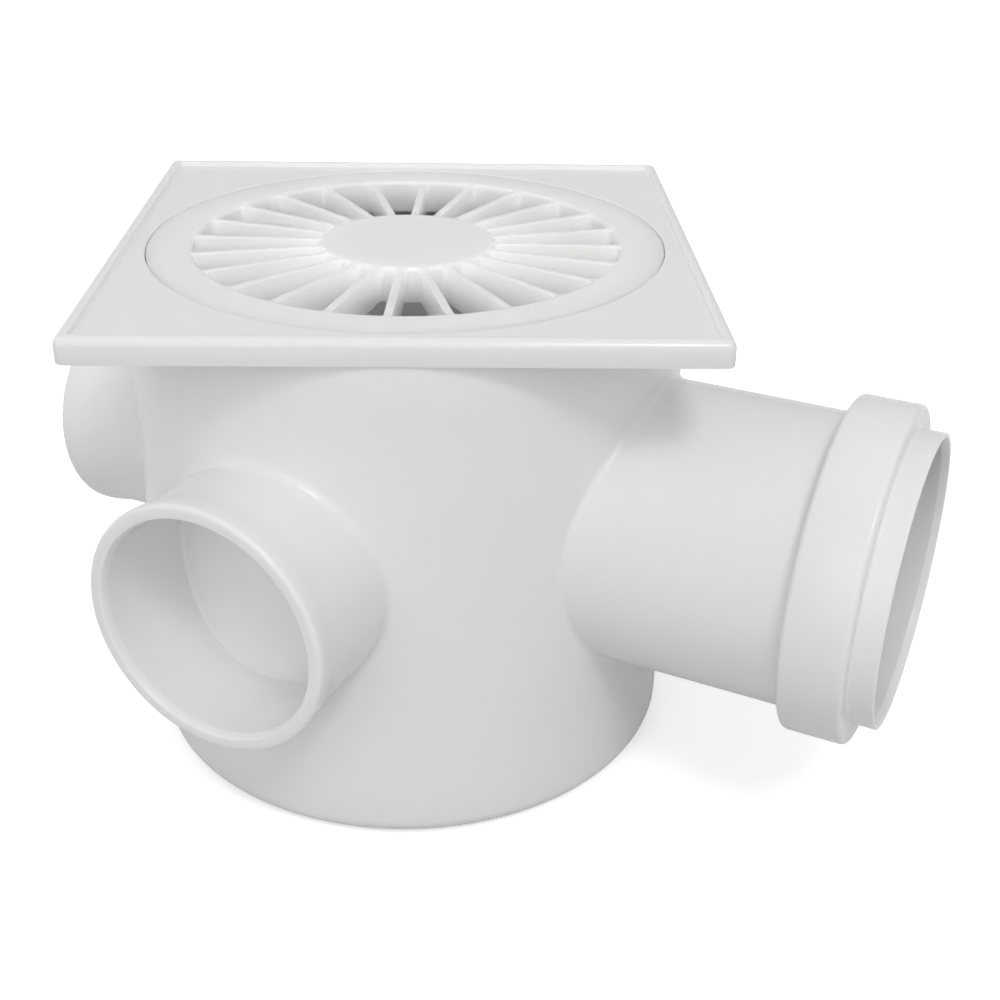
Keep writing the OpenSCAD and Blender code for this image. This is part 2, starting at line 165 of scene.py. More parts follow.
class FrameSizes(PropertyGroup):
    """The square top frame."""
    side: length("Side", "Side of the square plate", 0.1062)
    top_z: length("Top", "Height of the raised border's top", FRAME_HIGH.z)
    under_z: length("Underside", "Height of the plate's underside", BODY_HIGH.z)
    corner_r: length("Corner radius", "Rounding of the plate's upright corners", 0.0015)
    edge_r: length("Edge radius", "Rounding of the plate's upper edge", 0.0014)
    border_w: length("Border width", "Width of the raised border", 0.0022)
    border_h: length("Border height", "Height of the border above the field", 0.0008)
    turn: angle("Turn", "Turn of the plate against the outlet", 27.4)
    skirt_r: length("Skirt radius", "Outside radius of the skirt", 0.0506)
    skirt_wall: length("Skirt wall", "Thickness of the skirt", 0.002)
    skirt_z: length("Skirt end", "Height of the skirt's lower edge", FRAME_LOW.z)
    skirt_bevel: length("Skirt bevel", "Bevel of the skirt's lower edge", 0.0006)
    recess_r: length("Recess radius", "Radius of the grate's recess", 0.0481)
    ledge_r: length("Ledge radius", "Inner radius of the ledge under the grate", 0.0453)
    ledge_t: length("Ledge thickness", "Thickness of that ledge", 0.0018)
    pocket_edge: length("Pocket edge", "Wall between a pocket and the side", 0.0022)
    pocket_r: length("Pocket radius", "Radius at which the corner pockets begin", 0.05355)
    skin_t: length("Skin", "Thickness over the corner pockets", 0.002)


class GrateSizes(PropertyGroup):
    """The round grate with its vanes."""
    outer_r: length("Outer radius", "Outside radius of the grate", 0.04795)
    top_z: length("Top", "Height of the grate's top", GRATE_HIGH.z)
    low_z: length("Vane end", "Height of the vanes' lower edges", GRATE_LOW.z)
    edge_z: length("Edge end", "Height of the outer edge's foot", 0.0946)
    plate_t: length("Rim thickness", "Thickness of the rim and the disc", 0.002)
    slot_r: length("Slot end", "Radius at which the slots end", 0.0397)
    hub_r: length("Disc radius", "Radius of the closed disc", 0.0164)
    vanes: number("Vanes", "Number of vanes", 24)
    vane_t: length("Vane thickness", "Thickness of a vane", 0.0015)
    vane_drop: length("Vane drop", "How far the vanes lie below the disc's top", 0.00025)
    wall: length("Wall", "Thickness of the walls round the disc and the slots", 0.0017)
    lip: length("Lip rounding", "Rounding of the slots' upper edges", 0.0008)
    vane_edge: length("Vane edge", "Rounding of the vanes' upper edges", 0.0003)
    corner: length("Slot corner", "Rounding of the slots' corners", 0.0007)
    turn: angle("Turn", "Turn of the first vane against the outlet", 9.4)


class SealSizes(PropertyGroup):
    """The rubber ring in the outlet's collar."""
    play: length("Play", "Free space around the ring in its groove", 0.0002)
    clear: length("Clear", "Free space between the ring and the pipe line", 0.0001)
    heel: length("Lip tip", "Width of the lip's tip", 0.001)


class FinishLooks(PropertyGroup):
    """Colours and gloss of the plastics and the rubber."""
    white: colour("White PVC", "Colour of the moulded pieces", (0.89, 0.892, 0.888))
    bright: colour("Pale PVC", "Colour of its paler patches", (0.905, 0.906, 0.903))
    gloss: share("Roughness", "Roughness of the moulded surface", 0.22)
    depth: length("Light depth", "How far light travels in the thick walls", 0.001)
    thin_depth: length("Light depth, thin", "The same in the grate and hood", 0.0075)
    # The hood's colour is paler than the white PVC: painted light that lifts the hood and
    # its plug out of the shade inside the chamber.
    inner: colour("Inner PVC", "Colour of the hood and its plug", (0.94, 0.94, 0.935))
    rubber: colour("Rubber", "Colour of the seals", (0.022, 0.022, 0.024))


class StageSetup(PropertyGroup):
    """Floor, lamps and camera."""
    floor: colour("Floor", "Colour of the floor", (0.46, 0.475, 0.47))
    sky: brightness("Room light", "Strength of the light all round", 0.575)
    key: power("Key lamp", "Power of the lamp above the camera", 19.0)
    front: power("Front lamp", "Power of the low front lamp", 14.0)
    side: power("Side lamp", "Power of the lamp on the left", 7.0)
    eye: position("Camera place", "Where the camera stands", (0.12619, -0.22386, 0.18122))
    heading: angle("Camera heading", "Turn of the camera round the upright", 25.33)
    tilt: angle("Camera tilt", "Turn of the camera up from straight down", 61.87)
    roll: angle("Camera roll", "Turn of the camera round its own axis", 1.12)
    lens: focal("Focal length", "Focal length for a 36 mm sensor", 50.83)


# -------- surfaces

def shown(name, data):
    """A new object in the scene that shows the given data."""
    item = bpy.data.objects.new(name, data)
    bpy.context.scene.collection.objects.link(item)
    return item


WELD = 2e-6  # points closer than this become one
SLIVER = 1e-7  # edges shorter than this are taken out


class Skin:
    """Grids of points that are welded into one mesh."""

    def __init__(self):
        self.points = []
        self.faces = []
        self.count = 0

    def add(self, grid, close_rows=False, close_columns=True, keep=None):
        """Joins every point of a grid to its neighbours by quads. Closing the rows or
        the columns joins the last to the first. keep is a mask of the quads to keep."""
        rows, columns = grid.shape[:2]
        index = self.count + np.arange(rows * columns).reshape(rows, columns)
        if close_rows:
            index = np.vstack((index, index[:1]))
        if close_columns:
            index = np.hstack((index, index[:, :1]))
        quads = np.stack((index[:-1, :-1], index[:-1, 1:], index[1:, 1:], index[1:, :-1]),
                         axis=-1)
        self.faces.append(quads.reshape(-1, 4) if keep is None else quads[keep])
        self.points.append(grid.reshape(-1, 3))
        self.count += rows * columns

    def piece(self, name, material, slot, *nodes, crease=38):
        """Welds the grids, points the faces outwards and makes the piece that stands
        for the named nodes. Edges sharper than crease degrees stay sharp."""
        mesh = bpy.data.meshes.new(name)
        mesh.from_pydata(np.concatenate(self.points).tolist(), [],
                         np.concatenate(self.faces).tolist())
        shell = bmesh.new()
        shell.from_mesh(mesh)
        bmesh.ops.remove_doubles(shell, verts=shell.verts, dist=WELD)
        bmesh.ops.dissolve_degenerate(shell, edges=shell.edges, dist=SLIVER)
        bmesh.ops.recalc_face_normals(shell, faces=shell.faces)
        for face in shell.faces:
            face.smooth = True
        shell.to_mesh(mesh)
        shell.free()
        mesh.set_sharp_from_angle(angle=radians(crease))
        mesh.materials.append(material)
        piece = shown(name, mesh)
        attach(piece, "root")
        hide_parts(*nodes)
        return piece


def joined(*parts):
    """Coordinates as one array of points, each stretched to the others' shape."""
    return np.stack(np.broadcast_arrays(*parts), axis=-1)


def arc(centre, start, end, steps):
    """Points on the arc round centre from start to end: the weighted sum of the two
    spokes, with sines of the shares of the angle between them as weights."""
    first, last = start - centre, end - centre
    size = np.linalg.norm(first, axis=-1) * np.linalg.norm(last, axis=-1)
    turn = np.arccos(np.clip((first * last).sum(-1) / size, -1, 1))[..., None]
    t = np.linspace(0, 1, steps + 1).reshape((-1,) + (1,) * first.ndim)
    spread_out = np.sin((1 - t) * turn) * first + np.sin(t * turn) * last
    return centre + spread_out / np.sin(turn)


def rounded(corners, steps=4):
    """A section line through (a, b, radius) corners. Each corner with a radius is
    replaced by the arc that touches both of its sides."""
    places = np.array([corner[:2] for corner in corners], float)
    line = []
    for i, corner in enumerate(corners):
        here = places[i]
        radius = corner[2] if len(corner) > 2 else 0
        if radius == 0:
            line.append(here[None])
            continue
        back = places[i - 1] - here
        ahead = places[(i + 1) % len(corners)] - here
        back /= np.linalg.norm(back)
        ahead /= np.linalg.norm(ahead)
        half = acos(np.clip(back @ ahead, -1, 1)) / 2
        middle = (back + ahead) / np.linalg.norm(back + ahead)
        cut = radius / tan(half)
        line.append(arc(here + middle * radius / sin(half),
                        here + back * cut, here + ahead * cut, steps))
    return np.concatenate(line)


def turned(section, angles):
    """A section of (radius, height) points turned round the upright axis: x is radius
    times cosine, y is radius times sine."""
    radius, height = section[:, 0, None], section[:, 1, None]
    return joined(radius * np.cos(angles), radius * np.sin(angles), height)


def full_turn(steps):
    """Even angles once round: a step's number times the full turn over the steps."""
    return np.linspace(0, 2 * pi, steps + 1)[:-1]


def spokes(turns):
    """Points at distance 1 in the given directions: the cosine and the sine."""
    return joined(np.cos(turns), np.sin(turns))


def raised(xy, z):
    """Points (x, y) at one height, or each at its own."""
    return joined(*xy.T, z)


def swung(place, turn, rise=0):
    """Points (x, y, z) turned round the upright axis and lifted: x times cosine minus
    y times sine, x times sine plus y times cosine, and z plus the rise."""
    x, y, z = place[..., 0], place[..., 1], place[..., 2]
    return joined(x * cos(turn) - y * sin(turn), x * sin(turn) + y * cos(turn), z + rise)


def tube(section, around):
    """A section of (out, radius) points turned round a branch's axis: aside is radius
    times cosine, up is radius times sine."""
    out, radius = section[:, 0, None], section[:, 1, None]
    return joined(out, radius * np.cos(around), radius * np.sin(around))


def saddle(radius_at, tube_r, ball_r, around, steps, side=1):
    """The round between a tube and the upright round wall that it leaves. A ball rolls
    in touch with both, outside the tube for side 1 and inside it for side -1: its
    centre is tube_r plus side times ball_r from the tube's axis and ball_r out from
    the wall, whose radius is radius_at(up). Each row goes from the wall to the tube."""
    away = tube_r + side * ball_r
    aside, up = away * np.cos(around), away * np.sin(around)
    wall_r = radius_at(up)
    out = np.sqrt((wall_r + ball_r) ** 2 - aside ** 2)
    centre = joined(out, aside, up)
    on_tube = joined(out, tube_r * np.cos(around), tube_r * np.sin(around))
    ratio = wall_r / (wall_r + ball_r)
    on_wall = centre * joined(ratio, ratio, 1)
    return arc(centre, on_wall, on_tube, steps)


# -------- the body

WINDOW_STEPS = 24  # columns across a branch's window
STRIP_STEPS = 4  # columns between two windows
WINDOW_COLUMNS = WINDOW_STEPS + STRIP_STEPS
PATCH_ROWS = 6  # rows from a window's frame to what comes out of it
RISE_POINTS = 4  # points from the base's edge up to the windows, with both ends
FLARE_ROWS = 8  # rows along an inlet's flare
KNOCKOUT_ROWS = 8  # rows from a knock-out's round to its middle
# steps across the rounds of the base, the chamber's mouth and its floor,
FOOT_STEPS, RIM_STEPS, FLOOR_STEPS = 8, 3, 6
# and of a branch's root, the seat inside and a knock-out's edge
ROOT_STEPS, SEAT_STEPS, KNOCKOUT_STEPS = 6, 3, 4
BORE_RUN = 0.003  # an inlet's bore begins to narrow this far outside its stop
TUBE_RUN = 0.005  # the outlet's outer wall begins this far inside its stop
SEAT_RUN = 0.004  # the seat's section ends this far inside the outlet's stop


def body_angles(half_angle):
    """Directions of the chamber's columns: each branch's window in even steps, and the
    strip up to the next window in even steps."""
    window = np.linspace(-half_angle, half_angle, WINDOW_STEPS + 1)[:-1]
    strip = np.linspace(half_angle, pi / 2 - half_angle, STRIP_STEPS + 1)[:-1]
    quarter = np.concatenate((window, strip))
    return np.concatenate([quarter + i * pi / 2 for i in range(4)])


def window_frame(half_angle, half_rise):
    """The window's frame, run round from its lower right corner, as (turn, up)."""
    side = np.linspace(-1, 1, WINDOW_STEPS + 1)[:-1]
    one = np.ones(WINDOW_STEPS)
    return joined(np.concatenate((one, -side, -one, side)) * half_angle,
                  np.concatenate((side, one, -side, -one)) * half_rise)


def window_patch(edge, half_angle, half_rise, radius_at):
    """Rows on the wall from the window's frame to the edge of what comes out of it.
    Turn and height run straight from one to the other, and the radius is the wall's."""
    goal = joined(np.arctan2(edge[:, 1], edge[:, 0]), edge[:, 2])
    t = np.linspace(0, 1, PATCH_ROWS + 1)[:, None, None]
    place = window_frame(half_angle, half_rise) * (1 - t) + goal * t
    radius = radius_at(place[..., 1])
    return joined(radius * np.cos(place[..., 0]), radius * np.sin(place[..., 0]),
                  place[..., 1])


def wall_radius(c, z):
    """The outside radius of the chamber at height z: the base radius plus the draft's
    share of the height."""
    return c.base_r + c.draft * (z - c.base_round) / (c.rim_z - c.base_round)


def chamber_section(c, axis_z):
    """The chamber's section from the middle of the base over the rim to the middle of
    the floor, and the first rows of the outer and of the inner windows."""
    low, high = axis_z - c.window_rise, axis_z + c.window_rise
    foot = rounded([(0, 0), (c.base_r, 0, c.base_round), (c.base_r, low)],
                   FOOT_STEPS)[:-1]
    rise = np.linspace(c.base_round, low, RISE_POINTS)[1:-1]
    outside = np.linspace(low, high, WINDOW_STEPS + 1)
    wall = np.concatenate((rise, outside))
    mouth_z = c.rim_z - c.mouth_depth
    inner_high, inner_low = axis_z + c.inner_rise, axis_z - c.inner_rise
    rim = rounded([
        (wall_radius(c, high), high),
        (wall_radius(c, c.rim_z), c.rim_z, c.edge),
        (c.mouth_r + 2 * c.edge, c.rim_z, c.edge / 2),
        (c.mouth_r, c.rim_z - 2 * c.edge, c.edge),
        (c.mouth_r, mouth_z, c.edge),
        (c.inner_r, mouth_z, c.edge),
        (c.inner_r, inner_high),
    ], RIM_STEPS)[1:-1]
    inside = np.linspace(inner_high, inner_low, WINDOW_STEPS + 1)
    floor = rounded([(c.inner_r, inner_low), (c.inner_r, c.floor_z, c.floor_round),
                     (0, c.floor_z)], FLOOR_STEPS)[1:]
    section = np.concatenate((
        foot,
        joined(wall_radius(c, wall), wall),
        rim,
        joined(c.inner_r, inside),
        floor,
    ))
    first_outer = len(foot) + len(rise)
    first_inner = len(foot) + len(wall) + len(rim)
    return section, first_outer, first_inner


def inlet_section(b):
    """An inlet's section from the tube over the flared rim and down the bore. The
    flare rises with half a wave of the cosine."""
    tube_r = b.inlet_r + b.inlet_wall
    rim_r = tube_r + b.rim_out
    wave = np.linspace(0, 1, FLARE_ROWS + 1)[:-1]
    flare = joined(b.inlet_reach - b.rim_len + wave * (b.rim_len - b.rim_out),
                   tube_r + b.rim_out * (1 - np.cos(pi * wave)) / 2)
    mouth = rounded([
        (b.inlet_reach - 2 * b.rim_out, rim_r),
        (b.inlet_reach, rim_r, b.rim_out),
        (b.inlet_reach, b.inlet_r + b.lead_in, PLAIN_EDGE),
        (b.inlet_reach - b.lead_len, b.inlet_r, EASED_EDGE),
        (b.stop_x + BORE_RUN, b.inlet_r),
    ])[1:]
    return np.concatenate((flare, mouth))


def outlet_section(b):
    """The outlet's section from the tube over collar and lip, in along the bore with
    its ring groove, and past the stop into the seat of the hood's spigot."""
    tube_r = b.outlet_r + b.outlet_wall
    collar_end = b.outlet_reach - b.lip_len
    collar_start = collar_end - b.collar_len
    groove_r = b.collar_r - b.collar_wall
    stop_end = b.outlet_stop_x + b.outlet_stop_w
    return rounded([
        (b.outlet_stop_x - TUBE_RUN, tube_r),
        (collar_start, tube_r, b.collar_cove),
        (collar_start, b.collar_r, b.collar_back),
        (collar_end, b.collar_r, b.collar_front),
        (collar_end, b.outlet_r + b.lip_wall, BLUNT_EDGE),
        (b.outlet_reach, b.outlet_r + b.lip_wall, PLAIN_EDGE),
        (b.outlet_reach, b.outlet_r + b.lead_in, FINE_EDGE),
        (b.outlet_reach - b.lead_len, b.outlet_r, BLUNT_EDGE),
        (collar_end - b.collar_wall, b.outlet_r, FINE_EDGE),
        (collar_end - b.collar_wall, groove_r, PLAIN_EDGE),
        (collar_start + b.collar_wall, groove_r, PLAIN_EDGE),
        (collar_start + b.collar_wall, b.outlet_r, FINE_EDGE),
        (stop_end, b.outlet_r, FINE_EDGE),
        (stop_end, b.outlet_stop_r, PLAIN_EDGE),
        (b.outlet_stop_x, b.outlet_stop_r, PLAIN_EDGE),
        (b.outlet_stop_x, b.seat_r, FINE_EDGE),
        (b.outlet_stop_x - SEAT_RUN, b.seat_r),
    ])


def branch_root(c, radius_at, tube_r, fillet, around):
    """The wall of a branch's window and the fillet up to its tube."""
    rows = saddle(radius_at, tube_r, fillet, around, ROOT_STEPS)
    patch = window_patch(rows[0], c.window_angle, c.window_rise, radius_at)
    return np.concatenate((patch, rows[1:]))


def knockout(b, radius_at, around):
    """The wall that closes an inlet: a fillet round its edge and the chamber's own
    surface, in rows that shrink towards the middle."""
    fillet = saddle(radius_at, b.inlet_r - b.stop_in / 2, b.knockout_fillet, around,
                    KNOCKOUT_STEPS, side=-1)
    edge = fillet[0]
    t = np.linspace(1, 0, KNOCKOUT_ROWS + 1)[1:, None]
    aside, up = t * edge[:, 1], t * edge[:, 2]
    wall = joined(np.sqrt(radius_at(up) ** 2 - aside ** 2), aside, up)
    return np.concatenate((fillet[::-1], wall))


def build_body(context):
    """The body in one closed skin: the chamber's section turned round, with a window
    left out for each branch, and every branch's rows from its window's frame on."""
    c, b = context.scene.gully_chamber, context.scene.gully_branches
    skin = Skin()
    section, outer, inner = chamber_section(c, b.axis_z)
    angles = body_angles(c.window_angle)
    keep = np.ones((len(section) - 1, len(angles)), bool)
    column = np.arange(len(angles)) % WINDOW_COLUMNS < WINDOW_STEPS
    keep[outer:outer + WINDOW_STEPS, column] = False
    keep[inner:inner + WINDOW_STEPS, :WINDOW_STEPS] = False
    skin.add(turned(section, angles), keep=keep)

    def outside_at(up):
        """The outside radius at a height above the branches' axis."""
        return wall_radius(c, up + b.axis_z)

    def inside_at(up):
        """The inside radius, which is the same at every height."""
        return c.inner_r + 0 * up

    around = full_turn(4 * WINDOW_STEPS) - pi / 4
    root = branch_root(c, outside_at, b.inlet_r + b.inlet_wall, b.inlet_fillet, around)
    walls = tube(inlet_section(b), around)
    inlet = np.concatenate((root, walls, knockout(b, outside_at, around)))
    for quarter in (1, 2, 3):
        skin.add(swung(inlet, quarter * pi / 2, b.axis_z))

    root = branch_root(c, outside_at, b.outlet_r + b.outlet_wall, b.outlet_fillet, around)
    walls = tube(outlet_section(b), around)
    seat = saddle(inside_at, b.seat_r, PLAIN_EDGE, around, SEAT_STEPS)
    inside = window_patch(seat[0], c.window_angle, c.inner_rise, inside_at)
    outlet = np.concatenate((root, walls, seat[::-1], inside[::-1][1:]))
    skin.add(swung(outlet, 0, b.axis_z))
    return skin.piece("chamber_and_branches", white_pvc(context), "white_pvc", "body")


# -------- the top frame

SIDE_COLUMNS, POCKET_COLUMNS, CORNER_COLUMNS = 6, 9, 4  # columns of the plate's eighth
FRAME_EDGE_ROWS = 7  # rows over the plate's upper edge
BORDER_STEPS = 3  # rows round each edge inside the border
# (in, up) of the three rows round the lower edge of its sides
FOOT_EDGE = ((0, 0.0002), (0.00006, 0.00006), (0.0002, 0))
# widths of the flat strips that keep the shading of a flat even next to a rounding:
# outside the skirt, round the recess, inside the border and on top of it
SKIRT_STRIP, RECESS_STRIP, FIELD_STRIP, TOP_STRIP = 0.001, 0.0008, 0.0012, 0.0004
TOUCH = 1e-6  # a pocket's ends closer than this have met


def frame_columns(s):
    """One eighth of the plate's columns as turns from the middle of a side, and which
    of them a corner pocket crosses. The pocket's two ends stand on doubled columns."""
    half = s.side / 2 - s.pocket_edge
    begin = acos(half / s.pocket_r)
    rib = pi / 4 - asin(s.skin_t / 2 / s.pocket_r)
    eighth = np.concatenate((np.linspace(0, begin, SIDE_COLUMNS),
                             np.linspace(begin, rib, POCKET_COLUMNS),
                             np.linspace(rib, pi / 4, CORNER_COLUMNS)))
    pocket = np.repeat([False, True, False],
                       [SIDE_COLUMNS, POCKET_COLUMNS, CORNER_COLUMNS])
    return eighth, pocket


def four_corners(xy):
    """Carries one eighth of a ring on over the plate's eight eighths: it is mirrored in
    the diagonal and the quarter is turned three times."""
    quarter = np.concatenate((xy, xy[-2:0:-1, ::-1]))
    turns = [np.array(((cos(a), sin(a)), (-sin(a), cos(a))))
             for a in (0, pi / 2, pi, 3 * pi / 2)]
    return np.concatenate([quarter @ turn for turn in turns])


def round_ring(eighth, radius):
    """A circle on the plate's columns: the radius times their spokes."""
    return four_corners(radius * spokes(eighth))


def square_ring(eighth, half, corner):
    """A square of half side half with rounded corners on the plate's columns: on the
    side, the height goes with the tangent of the column's turn, and the last columns
    of an eighth run along the corner's arc."""
    up = (half - corner) * np.tan(eighth[:1 - CORNER_COLUMNS])
    up /= tan(eighth[-CORNER_COLUMNS])
    bend = np.linspace(0, pi / 4, CORNER_COLUMNS)[1:]
    x = np.concatenate((half + 0 * up, half - corner + corner * np.cos(bend)))
    y = np.concatenate((up, half - corner + corner * np.sin(bend)))
    return four_corners(joined(x, y))


def build_frame(context):
    """The top frame: rings of points from the border over the side, under the plate
    with its corner pockets, round the skirt and the ledge and back over the field."""
    s = context.scene.gully_frame
    eighth, pocket = frame_columns(s)
    half, field_z = s.side / 2, s.top_z - s.border_h
    ledge_z = context.scene.gully_grate.edge_z
    deep = np.tile(np.concatenate((pocket, pocket[-2:0:-1])), 4)
    rings = []
    for bend in np.linspace(0, pi / 2, FRAME_EDGE_ROWS):
        inset = s.edge_r * (1 - sin(bend))
        corner = max(s.corner_r - inset, PLAIN_EDGE)
        rings.append((square_ring(eighth, half - inset, corner),
                      s.top_z - s.edge_r * (1 - cos(bend))))
    for inset, rise in FOOT_EDGE:
        rings.append((square_ring(eighth, half - inset, s.corner_r), s.under_z + rise))
    rib_corner = s.skin_t / sqrt(2)
    outer = square_ring(eighth, half - s.pocket_edge, rib_corner)
    inner = round_ring(eighth, s.pocket_r)
    outside = np.hypot(*inner.T) >= np.hypot(*outer.T) - TOUCH
    inner = np.where((outside | ~deep)[:, None], outer, inner)
    pocket_z = np.where(deep, field_z - s.skin_t, s.under_z)
    rings += [(outer, s.under_z), (outer, pocket_z), (inner, pocket_z),
              (inner, s.under_z)]
    for radius, z in rounded([
        (s.skirt_r + SKIRT_STRIP, s.under_z),
        (s.skirt_r, s.under_z, PLAIN_EDGE),
        (s.skirt_r, s.skirt_z + s.skirt_bevel, FINE_EDGE),
        (s.skirt_r - s.skirt_bevel, s.skirt_z, FINE_EDGE),
        (s.skirt_r - s.skirt_wall, s.skirt_z, SOFT_EDGE),
        (s.skirt_r - s.skirt_wall, ledge_z - s.ledge_t, PLAIN_EDGE),
        (s.ledge_r, ledge_z - s.ledge_t, PLAIN_EDGE),
        (s.ledge_r, ledge_z, PLAIN_EDGE),
        (s.recess_r, ledge_z, FINE_EDGE),
        (s.recess_r, field_z, FINE_EDGE),
        (s.recess_r + RECESS_STRIP, field_z),
    ]):
        rings.append((round_ring(eighth, radius), z))
    inside = half - s.border_w
    for inset, z in rounded([(FIELD_STRIP, field_z), (0, field_z, PLAIN_EDGE),
                             (0, s.top_z, PLAIN_EDGE), (-TOP_STRIP, s.top_z)],
                            BORDER_STEPS):
        rings.append((square_ring(eighth, inside - inset, s.corner_r / 2), z))
    grid = np.stack([raised(xy, z) for xy, z in rings])
    skin = Skin()
    skin.add(swung(grid, s.turn), close_rows=True)
    return skin.piece("square_frame", white_pvc(context), "white_pvc", "top_frame")


# -------- the grate

HUB_STEPS, VANE_STEPS, END_STEPS = 2, 9, 3  # along the disc, the vane and the rim
CORNER_STEPS = 4  # steps round a slot's corner
HUB_SPAN = HUB_STEPS + CORNER_STEPS // 2  # steps of the land beside the disc
RIM_SPAN = END_STEPS + CORNER_STEPS // 2  # and beside the rim
LIP_ROWS = 6  # rows over a slot's upper edge
FOOT_ROWS = 4  # rows over its lower edge
LAND = 1.5  # width of the land round a slot, in roundings of its lip
VANE_OVERLAP = 0.0001  # how far a vane's level top runs past the slot's ends


def slot_corner(wall_r, sign, half_vane, radius):
    """The arc in a slot's corner, which touches a vane's side and the round wall at
    wall_r, and the way out of the slot at each of its points. It goes from the wall to
    the vane. sign is 1 at the disc and -1 at the rim."""
    reach = wall_r + sign * radius
    centre = np.array((sqrt(reach ** 2 - (half_vane + radius) ** 2), half_vane + radius))
    line = arc(centre, centre * wall_r / reach, centre - [0, radius], CORNER_STEPS)
    return line, (line - centre) / radius


def half_slot(g):
    """Half of a slot's outline beside the vane on the x axis, from the disc to the rim:
    its points, the way out of the slot, and how far each is on the vane, from 0 at the
    round walls to 1. In the corners that goes as t squared times (3 - 2 t)."""
    pitch = pi / g.vanes
    hub, hub_out = slot_corner(g.hub_r, 1, g.vane_t / 2, g.corner)
    rim, rim_out = slot_corner(g.slot_r, -1, g.vane_t / 2, g.corner)
    rim, rim_out = rim[::-1], rim_out[::-1]
    first = spokes(np.linspace(pitch, atan2(hub[0, 1], hub[0, 0]), HUB_STEPS + 1))
    last = spokes(np.linspace(atan2(rim[-1, 1], rim[-1, 0]), pitch, END_STEPS + 1))
    t = np.linspace(0, 1, VANE_STEPS + 1)[1:-1, None]
    side = hub[-1] * (1 - t) + rim[0] * t
    side_out = np.tile([0.0, -1.0], (len(side), 1))
    points = np.concatenate((g.hub_r * first, hub[1:], side, rim, g.slot_r * last[1:]))
    outward = np.concatenate((-first, hub_out[1:], side_out, rim_out, last[1:]))
    blend = np.linspace(0, 1, len(hub))
    blend = blend * blend * (3 - 2 * blend)
    on_vane = np.concatenate((np.zeros(len(first)), blend[1:], np.ones(len(side)),
                              blend[::-1], np.zeros(len(last) - 1)))
    return points, outward, on_vane


def sector_edge(g, inner_r, outer_r, stations):
    """Half a sector's border, from the middle of the slot along inner_r to the vane's
    middle, out along it through the stations, and back along outer_r."""
    pitch = pi / g.vanes
    middle = joined(stations, 0)
    return np.concatenate((inner_r * spokes(np.linspace(pitch, 0, HUB_SPAN + 1)), middle,
                           outer_r * spokes(np.linspace(0, pitch, RIM_SPAN + 1))))


def half_sector(g, inner_r, outer_r, wall_in, wall_out):
    """Half a slot and half a vane as rows of points: the land on top, the rounded upper
    edge, the wall with its rounded lower edge, and the land below. Each rounding moves
    a point along its way out by 1 minus a sine and down by 1 minus a cosine."""
    points, outward, on_vane = half_slot(g)
    top = g.top_z - g.vane_drop * on_vane
    lip = g.lip + (g.vane_edge - g.lip) * on_vane
    run = np.linspace(g.hub_r - VANE_OVERLAP, g.slot_r + VANE_OVERLAP, VANE_STEPS + 1)
    stations = np.concatenate(([g.hub_r - g.lip], run, [g.slot_r + g.lip]))
    border = sector_edge(g, inner_r, outer_r, stations)
    level = np.full(len(border), g.top_z)
    level[HUB_SPAN + 2:-RIM_SPAN - 2] -= g.vane_drop
    under_run = np.linspace(wall_in, wall_out, len(stations) + 2)[1:-1]
    rows = [raised(border, level)]
    for bend in np.linspace(0, pi / 2, LIP_ROWS):
        shift = (lip * (1 - sin(bend)))[:, None] * outward
        rows.append(raised(points + shift, top - lip * (1 - cos(bend))))
    for bend in np.linspace(0, pi / 2, FOOT_ROWS):
        shift = PLAIN_EDGE * (1 - cos(bend)) * outward
        rows.append(raised(points + shift, g.low_z + PLAIN_EDGE * (1 - sin(bend))))
    rows.append(raised(sector_edge(g, wall_in, wall_out, under_run), g.low_z))
    return np.stack(rows)


def build_grate(context):
    """The grate: half a slot with half a vane, mirrored and turned to every slot, and
    the sections of the disc and of the rim turned round on to them."""
    g = context.scene.gully_grate
    inner_r, outer_r = g.hub_r - LAND * g.lip, g.slot_r + LAND * g.lip
    wall_in, wall_out = g.hub_r - g.wall, g.slot_r + g.wall
    half = half_sector(g, inner_r, outer_r, wall_in, wall_out)
    skin = Skin()
    for i in range(g.vanes):
        turn = g.turn + i * 2 * pi / g.vanes
        for side in (half, half * [1, -1, 1]):
            skin.add(swung(side, turn), close_columns=False)

    disc_turns = g.turn + full_turn(2 * g.vanes * HUB_SPAN)
    rim_turns = g.turn + full_turn(2 * g.vanes * RIM_SPAN)
    plate_low = g.top_z - g.plate_t
    skin.add(turned(np.array([(inner_r, g.top_z), (inner_r - g.lip, g.top_z),
                              (0, g.top_z)]), disc_turns))
    skin.add(turned(rounded([
        (wall_in, g.low_z),
        (wall_in, plate_low, SOFT_EDGE),
        (0, plate_low),
    ]), disc_turns))
    skin.add(turned(rounded([
        (outer_r, g.top_z),
        (outer_r + g.lip, g.top_z),
        (g.outer_r, g.top_z, SOFT_EDGE),
        (g.outer_r, g.edge_z, FINE_EDGE),
        (g.outer_r - g.wall, g.edge_z, FINE_EDGE),
        (g.outer_r - g.wall, plate_low, SOFT_EDGE),
        (wall_out, plate_low, SOFT_EDGE),
        (wall_out, g.low_z),
    ]), rim_turns))
    return skin.piece("vane_grate", white_pvc(context, thin=True), "white_pvc", "grate")


# -------- the seals

RING_COLUMNS = 96  # columns round a ring
CORD_COLUMNS = 24  # columns round an O-ring's own section


